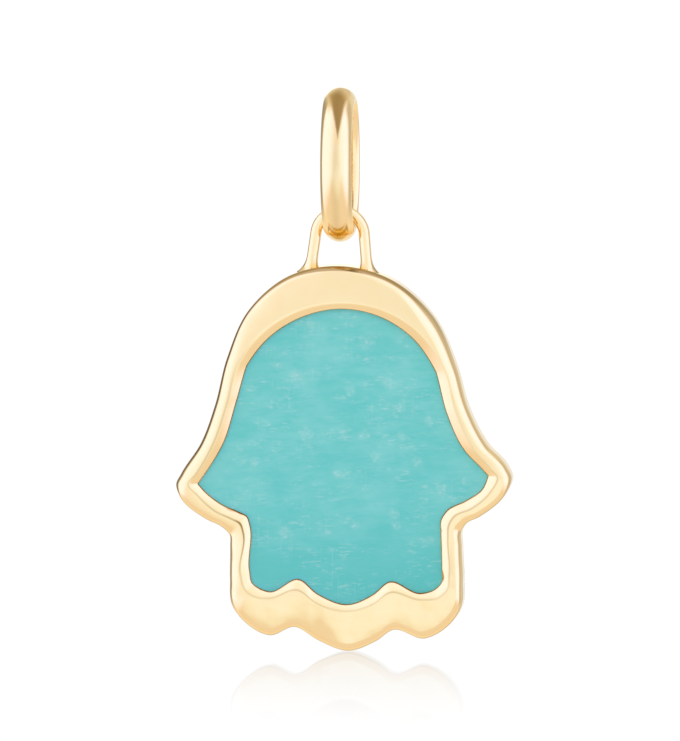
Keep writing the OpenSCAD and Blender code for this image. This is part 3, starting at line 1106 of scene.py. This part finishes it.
    def build_setting(self) -> bpy.types.Object:
        """Lofts the hand: seat, bevel, crest, land, rounded edge, wall and closed back.

        Returns:
            The hand.
        """
        bevel_top, land_top = self.soft / self.inner, self.soft / self.land
        edge_end = self.edge_ring(1.0)[:, 1:2]
        walls = (self.floor_y, self.face_y + self.wall_ring)
        rings = [self.at_depth(self.seat_line, depth) for depth in walls]
        rings += [self.bevel_ring(1 - (1 - bevel_top) * t)
                  for t in np.linspace(0, self.bevel_end, self.bevel_rings)]
        rings += self.crest_rings()
        rings += [self.land_ring(land_top + (self.land_end - land_top) * t)
                  for t in np.linspace(self.land_first, 1, self.land_rings)]
        rings += [self.edge_ring(share) for share in np.linspace(0, 1, self.edge_rings)]
        rings += [self.at_depth(self.hand_line, edge_end + (self.back_y - self.back_r - edge_end) * share)
                  for share in self.side_shares]
        rings += [self.back_ring(angle) for angle in np.linspace(0, 90, self.back_rings)]
        rings += [self.back_ring(90, extra) for extra in self.back_insets]
        stacked = np.stack(rings)
        placed = self.placed(stacked.reshape(-1, 3)).reshape(stacked.shape)
        ends = self.placed(np.array([[self.middle[0], self.floor_y, self.middle[1]],
                                     [self.middle[0], self.back_y, self.middle[1]]]))
        hand = skin("cast_hand", placed, (ends[0], ends[1]))
        # Painted shade in the seam, along the crest and along the outer edge
        set_attribute(hand, "painted_shade", np.concatenate([self.darkness(len(rings)).reshape(-1), [1.0, 0.0]]))
        hand.data.materials.append(self.gold.material())
        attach(hand, "pendant")
        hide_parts("setting")
        return hand

    def darkness(self, count: int) -> np.ndarray:
        """How much painted shade the gold has at each point of the hand's rings.

        The two rings of the seat's wall are painted dark. So is a thin line at the foot of the bevel, where
        the seam is wide, and there are painted dark lines along the crest and along the outer edge, as the
        relief's table gives them.

        Args:
            count: Number of rings.

        Returns:
            One row for each ring.
        """
        dark = np.zeros((count, len(self.hand_line)))
        seam = rise_between(self.relief(Relief.SEAM).T, *self.seam_w)
        # Numbers of the first rings of the bevel, the crest and the land, in the order of build_setting
        foot = 2
        crest = foot + self.bevel_rings
        land = crest + len(self.crest_dark)
        dark[:foot] = self.wall_dark[0] + (self.wall_dark[1] - self.wall_dark[0]) * seam
        dark[foot] = self.foot_dark * seam
        dark[crest:land] = np.array(self.crest_dark)[:, None] * self.relief(Relief.LINE).T
        line_w = self.relief(Relief.EDGE_LINE_W)
        for ring, share in enumerate(np.linspace(0, 1, self.edge_rings), land + self.land_rings):
            inwards = self.rounding * (1 - np.sin(self.tilt_at(share))) / (1 - np.sin(self.edge_tilt))
            fade = rise_between(inwards, line_w, line_w - self.edge_line_fade)
            dark[ring] = (fade * self.relief(Relief.EDGE_LINE))[:, 0]
        return dark

    def build_stone(self) -> bpy.types.Object:
        """Lofts the slab: flat back, straight side, eased edge and flat polished face.

        Returns:
            The stone.
        """
        back = self.face_y + self.stone_t
        shares = np.array(self.face_shares)
        line = self.stone_line
        eased = np.radians(np.linspace(0, 90, self.ease_rings))
        rings = [self.at_depth(line + (self.middle - line) * self.under_share, back)]
        rings += [self.at_depth(line, back), self.at_depth(line, back - self.stone_t * self.side_share)]
        rings += [self.at_depth(widened(line, self.stone_ease * (math.cos(a) - 1)),
                                self.face_y + self.stone_ease * (1 - math.sin(a))) for a in eased]
        inner = widened(line, -self.stone_ease)
        rings += [self.at_depth(inner + (self.middle - inner) * share, self.face_y) for share in shares]
        stacked = np.stack(rings)[::-1]
        inwards = np.concatenate([shares[::-1], np.zeros(len(rings) - len(shares))]) * self.face_reach
        placed = self.placed(stacked.reshape(-1, 3)).reshape(stacked.shape)
        ends = self.placed(np.array([[self.middle[0], self.face_y, self.middle[1]],
                                     [self.middle[0], back, self.middle[1]]]))
        slab = skin("stone_slab", placed, (ends[0], ends[1]))
        set_attribute(slab, "inwards", np.append(np.repeat(inwards, len(line)), [self.face_reach] * 2))
        slab.visible_glossy = False
        slab.data.materials.append(self.stone.material())
        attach(slab, "pendant")
        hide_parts("stone")
        return slab


# Studio


@dataclass
class Studio:
    """White floor, soft light of a room by direction, a brown card, and the camera as in the photograph."""

    azimuth: float = 5.4
    elevation: float = 5.0
    distance: float = 800.0
    view_h: float = 39.64
    target: Triple = (-0.005, 0.0, -14.34)
    sensor: float = 36.0
    clip: Span = (0.05, 20.0)

    # Floor: its height and half width, its own light, and the mirror-like share close to the pendant,
    # which fades over a distance to the front and back
    floor_z: float = -29.40
    floor_half: float = 400.0
    floor_light: float = 1.02
    floor_tint: Colour = (0.8, 0.84, 0.9, 1.0)
    floor_roughness: float = 0.045
    mirror: float = 0.42
    fade: float = 45.0

    # Light of the room against the angle from its middle, as (degrees, light), to each side, above, below
    middle: float = 10.0
    left: LightTable = (
        (0, (0.96, 0.99, 1.08)), (15, (0.97, 0.99, 1.08)), (25, (1.02, 1.03, 1.18)), (38, (1.1, 1.15, 1.44)),
        (60, (1.25, 1.21, 1.62)), (95, (1.3, 1.24, 1.7)), (115, (1.25, 1.2, 1.6)), (121, (0.6, 0.54, 0.46)),
        (127, (0.4, 0.37, 0.32)), (160, (0.38, 0.36, 0.32)), (170, (0.8, 0.8, 0.8)), (180, (1.0, 1.0, 1.0)))
    right: LightTable = (
        (0, (0.96, 0.99, 1.08)), (8, (0.97, 0.99, 1.08)), (18, (1.04, 1.08, 1.25)), (28, (1.1, 1.15, 1.45)),
        (40, (1.15, 1.18, 1.5)), (52, (1.3, 1.22, 1.7)), (78, (1.3, 1.24, 1.85)), (89, (0.9, 0.84, 0.85)),
        (95, (0.62, 0.57, 0.52)), (112, (0.62, 0.57, 0.52)), (126, (0.82, 0.8, 0.76)),
        (148, (0.82, 0.8, 0.76)), (180, (1.0, 1.0, 1.0)))
    above: LightTable = (
        (0, (0.96, 0.99, 1.08)), (10, (0.98, 1.0, 1.08)), (25, (1.02, 1.02, 1.12)), (45, (1.12, 1.1, 1.28)),
        (60, (1.2, 1.16, 1.48)), (85, (1.2, 1.18, 1.52)), (100, (1.0, 0.95, 0.95)), (112, (0.8, 0.71, 0.56)),
        (140, (0.7, 0.62, 0.5)), (158, (0.7, 0.65, 0.55)), (167, (1.22, 1.16, 1.06)),
        (180, (1.25, 1.19, 1.11)))
    below: LightTable = (
        (0, (0.96, 0.99, 1.08)), (8, (1.05, 1.1, 1.28)), (22, (1.05, 1.1, 1.24)), (31, (0.99, 0.99, 1.0)),
        (42, (0.92, 0.83, 0.76)), (95, (0.92, 0.8, 0.72)), (110, (1.0, 0.88, 0.72)), (135, (0.95, 0.85, 0.7)),
        (160, (0.95, 0.9, 0.85)), (176, (1.0, 1.0, 1.0)), (180, (1.0, 1.0, 1.0)))
    # Where the sides meet, across; how far up the light above starts at the room's middle, how much less
    # for each degree from there, and half of its soft border; and how far down the light below comes in
    side_border: Span = (-0.1, 0.1)
    above_from: float = 64.0
    above_fall: float = 0.19
    above_border: float = 9.0
    below_border: Span = (14.0, 40.0)
    seen_light: float = 1.05

    # Outline of the brown card over the bail, as (across, back), and its height, in millimetres
    card: tuple[Span, ...] = (
        (2.5, -13.6), (3.6, -7.7), (3.6, -4.4), (3.3, 1.8),
        (-4.2, 4.5), (-3.3, -1.3), (-2.0, -5.3), (-0.2, -8.9))
    card_z: float = 4.0
    # Shares of the way from its middle to its outline between which the card fades out
    card_fade: Span = (0.62, 1.14)
    card_light: Colour = (0.41, 0.31, 0.18, 1.0)

    def lens_side(self) -> np.ndarray:
        """Unit direction from the pendant to the camera."""
        azimuth, elevation = math.radians(self.azimuth), math.radians(self.elevation)
        return np.array([math.sin(azimuth) * math.cos(elevation), -math.cos(azimuth) * math.cos(elevation),
                         math.sin(elevation)])

    def camera(self) -> bpy.types.Object:
        """Puts a long lens at the photograph's angle.

        Returns:
            The camera, which is also made the scene's camera.
        """
        data = bpy.data.cameras.new("camera")
        data.sensor_width = self.sensor
        data.lens = self.sensor * self.distance / self.view_h
        data.clip_start, data.clip_end = self.clip
        camera = bpy.data.objects.new("camera", data)
        camera.location = (np.array(self.target) + self.lens_side() * self.distance) * MM
        camera.rotation_euler = (math.pi / 2 - math.radians(self.elevation), 0.0, math.radians(self.azimuth))
        bpy.context.scene.collection.objects.link(camera)
        bpy.context.scene.camera = camera
        return camera

    def light(self, tree: Tree, turn: Socket, table: LightTable) -> Socket:
        """Light from a table.

        Args:
            tree: The room's tree.
            turn: Angle from the room's middle, as a share of 180 degrees.
            table: The table.

        Returns:
            The light's colour, a ramp between the table's lights times the highest of their parts.
        """
        top = max(max(light) for _, light in table)
        stops = [(degrees / 180, (*(part / top for part in light), 1.0)) for degrees, light in table]
        return tree.scaled(tree.node("ShaderNodeValToRGB", {"stops": stops}, {0: turn}), top)

    def world(self) -> bpy.types.World:
        """Builds the room's light by direction; straight into the camera it is plain white.

        The light depends on the angle from the room's middle, by one table to each side, one above and
        one below, which are mixed by the way round that middle. The light above starts further up near the
        middle than far from it.

        Returns:
            The world, which is also made the scene's world.
        """
        world = bpy.data.worlds.new("soft_room")
        world.use_nodes = True
        tree = Tree(world.node_tree)
        direction = tree.turned(tree.node("ShaderNodeTexCoord", output="Generated"), (0.0, 0.0, -self.middle))
        x, y, z = (tree.along(direction, axis) for axis in "XYZ")
        turn = (y * -1.0).maths("ARCCOSINE") / math.pi
        round_up = z.maths("ARCTAN2", x.absolute()) * (180 / math.pi)
        left, right, above, below = (self.light(tree, turn, table)
                                     for table in (self.left, self.right, self.above, self.below))
        light = tree.mix(x.step(*self.side_border), left, right)
        past_start = round_up - (self.above_from - turn * (180 * self.above_fall))
        light = tree.mix(past_start.step(-self.above_border, self.above_border), light, above)
        light = tree.mix((round_up * -1.0).step(*self.below_border), light, below)
        room = tree.node("ShaderNodeBackground", None, {"Color": light, "Strength": 1.0})
        white = tree.node("ShaderNodeBackground", None, {"Color": WHITE, "Strength": self.seen_light})
        seen = tree.node("ShaderNodeLightPath", output="Is Camera Ray")
        both = tree.node("ShaderNodeMixShader", None, {0: seen, 1: room, 2: white})
        tree.node("ShaderNodeOutputWorld", None, {"Surface": both})
        bpy.context.scene.world = world
        return world

    def floor(self) -> bpy.types.Object:
        """Lays the plain white glossy floor, whose faint reflection fades away from the pendant.

        Returns:
            The floor.
        """
        half = self.floor_half
        corners = np.array([[-half, -half], [half, -half], [half, half], [-half, half]])
        corners = np.column_stack([corners, np.full(len(corners), self.floor_z)])
        floor = put_in_mesh("floor", corners, [[0, 1, 2, 3]])
        floor.visible_glossy = False
        material, tree = new_material("white_floor")
        near = 1.0 - (tree.along(tree.place(), "Y").absolute() / (self.fade * MM)).clamped()
        white = tree.node("ShaderNodeEmission", None, {"Color": WHITE, "Strength": self.floor_light})
        gloss = tree.node("ShaderNodeBsdfGlossy", None,
                          {"Color": self.floor_tint, "Roughness": self.floor_roughness})
        mixed = tree.node("ShaderNodeMixShader", None, {0: near**2.0 * self.mirror, 1: white, 2: gloss})
        tree.node("ShaderNodeOutputMaterial", None, {"Surface": mixed})
        floor.data.materials.append(material)
        return floor

    def overhead_card(self) -> bpy.types.Object:
        """Hangs the brown card whose reflection is the dark wedge at the top of the bail.

        Returns:
            The card, which only reflections see.
        """
        outline = np.array([(x, y, self.card_z) for x, y in self.card])
        middle = outline.mean(axis=0)
        sides = len(outline)
        points = np.concatenate([middle + (outline - middle) * share for share in self.card_fade])
        faces = [list(range(sides))] + ring_quads(2, sides, False).tolist()
        card = put_in_mesh("overhead_card", points, faces)
        set_attribute(card, "fade", np.repeat([0.0, 1.0], sides))
        card.visible_camera = card.visible_diffuse = card.visible_shadow = False
        material, tree = new_material("brown_card")
        glow = tree.node("ShaderNodeEmission", None, {"Color": self.card_light, "Strength": 1.0})
        clear = tree.node("ShaderNodeBsdfTransparent")
        mixed = tree.node("ShaderNodeMixShader", None, {0: tree.attribute("fade"), 1: glow, 2: clear})
        tree.node("ShaderNodeOutputMaterial", None, {"Surface": mixed})
        card.data.materials.append(material)
        return card


def report(piece: bpy.types.Object) -> None:
    """Logs a piece's name and its number of triangles."""
    piece.data.calc_loop_triangles()
    LOG.info("%s: %d triangles", piece.name, len(piece.data.loop_triangles))


def main() -> None:
    """Builds the studio and the pendant."""
    logging.basicConfig(level=logging.INFO, format="%(name)s: %(message)s")
    scene = bpy.context.scene
    scene.view_settings.view_transform = "Standard"
    studio = Studio()
    studio.camera()
    studio.world()
    report(studio.floor())
    report(studio.overhead_card())
    bail = Bail()
    loop = WireLoop(bail)
    hand = Hand(loop)
    for piece in (bail.build(), loop.build(), hand.build_setting(), hand.build_stone()):
        report(piece)


if __name__ == "__main__":
    main()
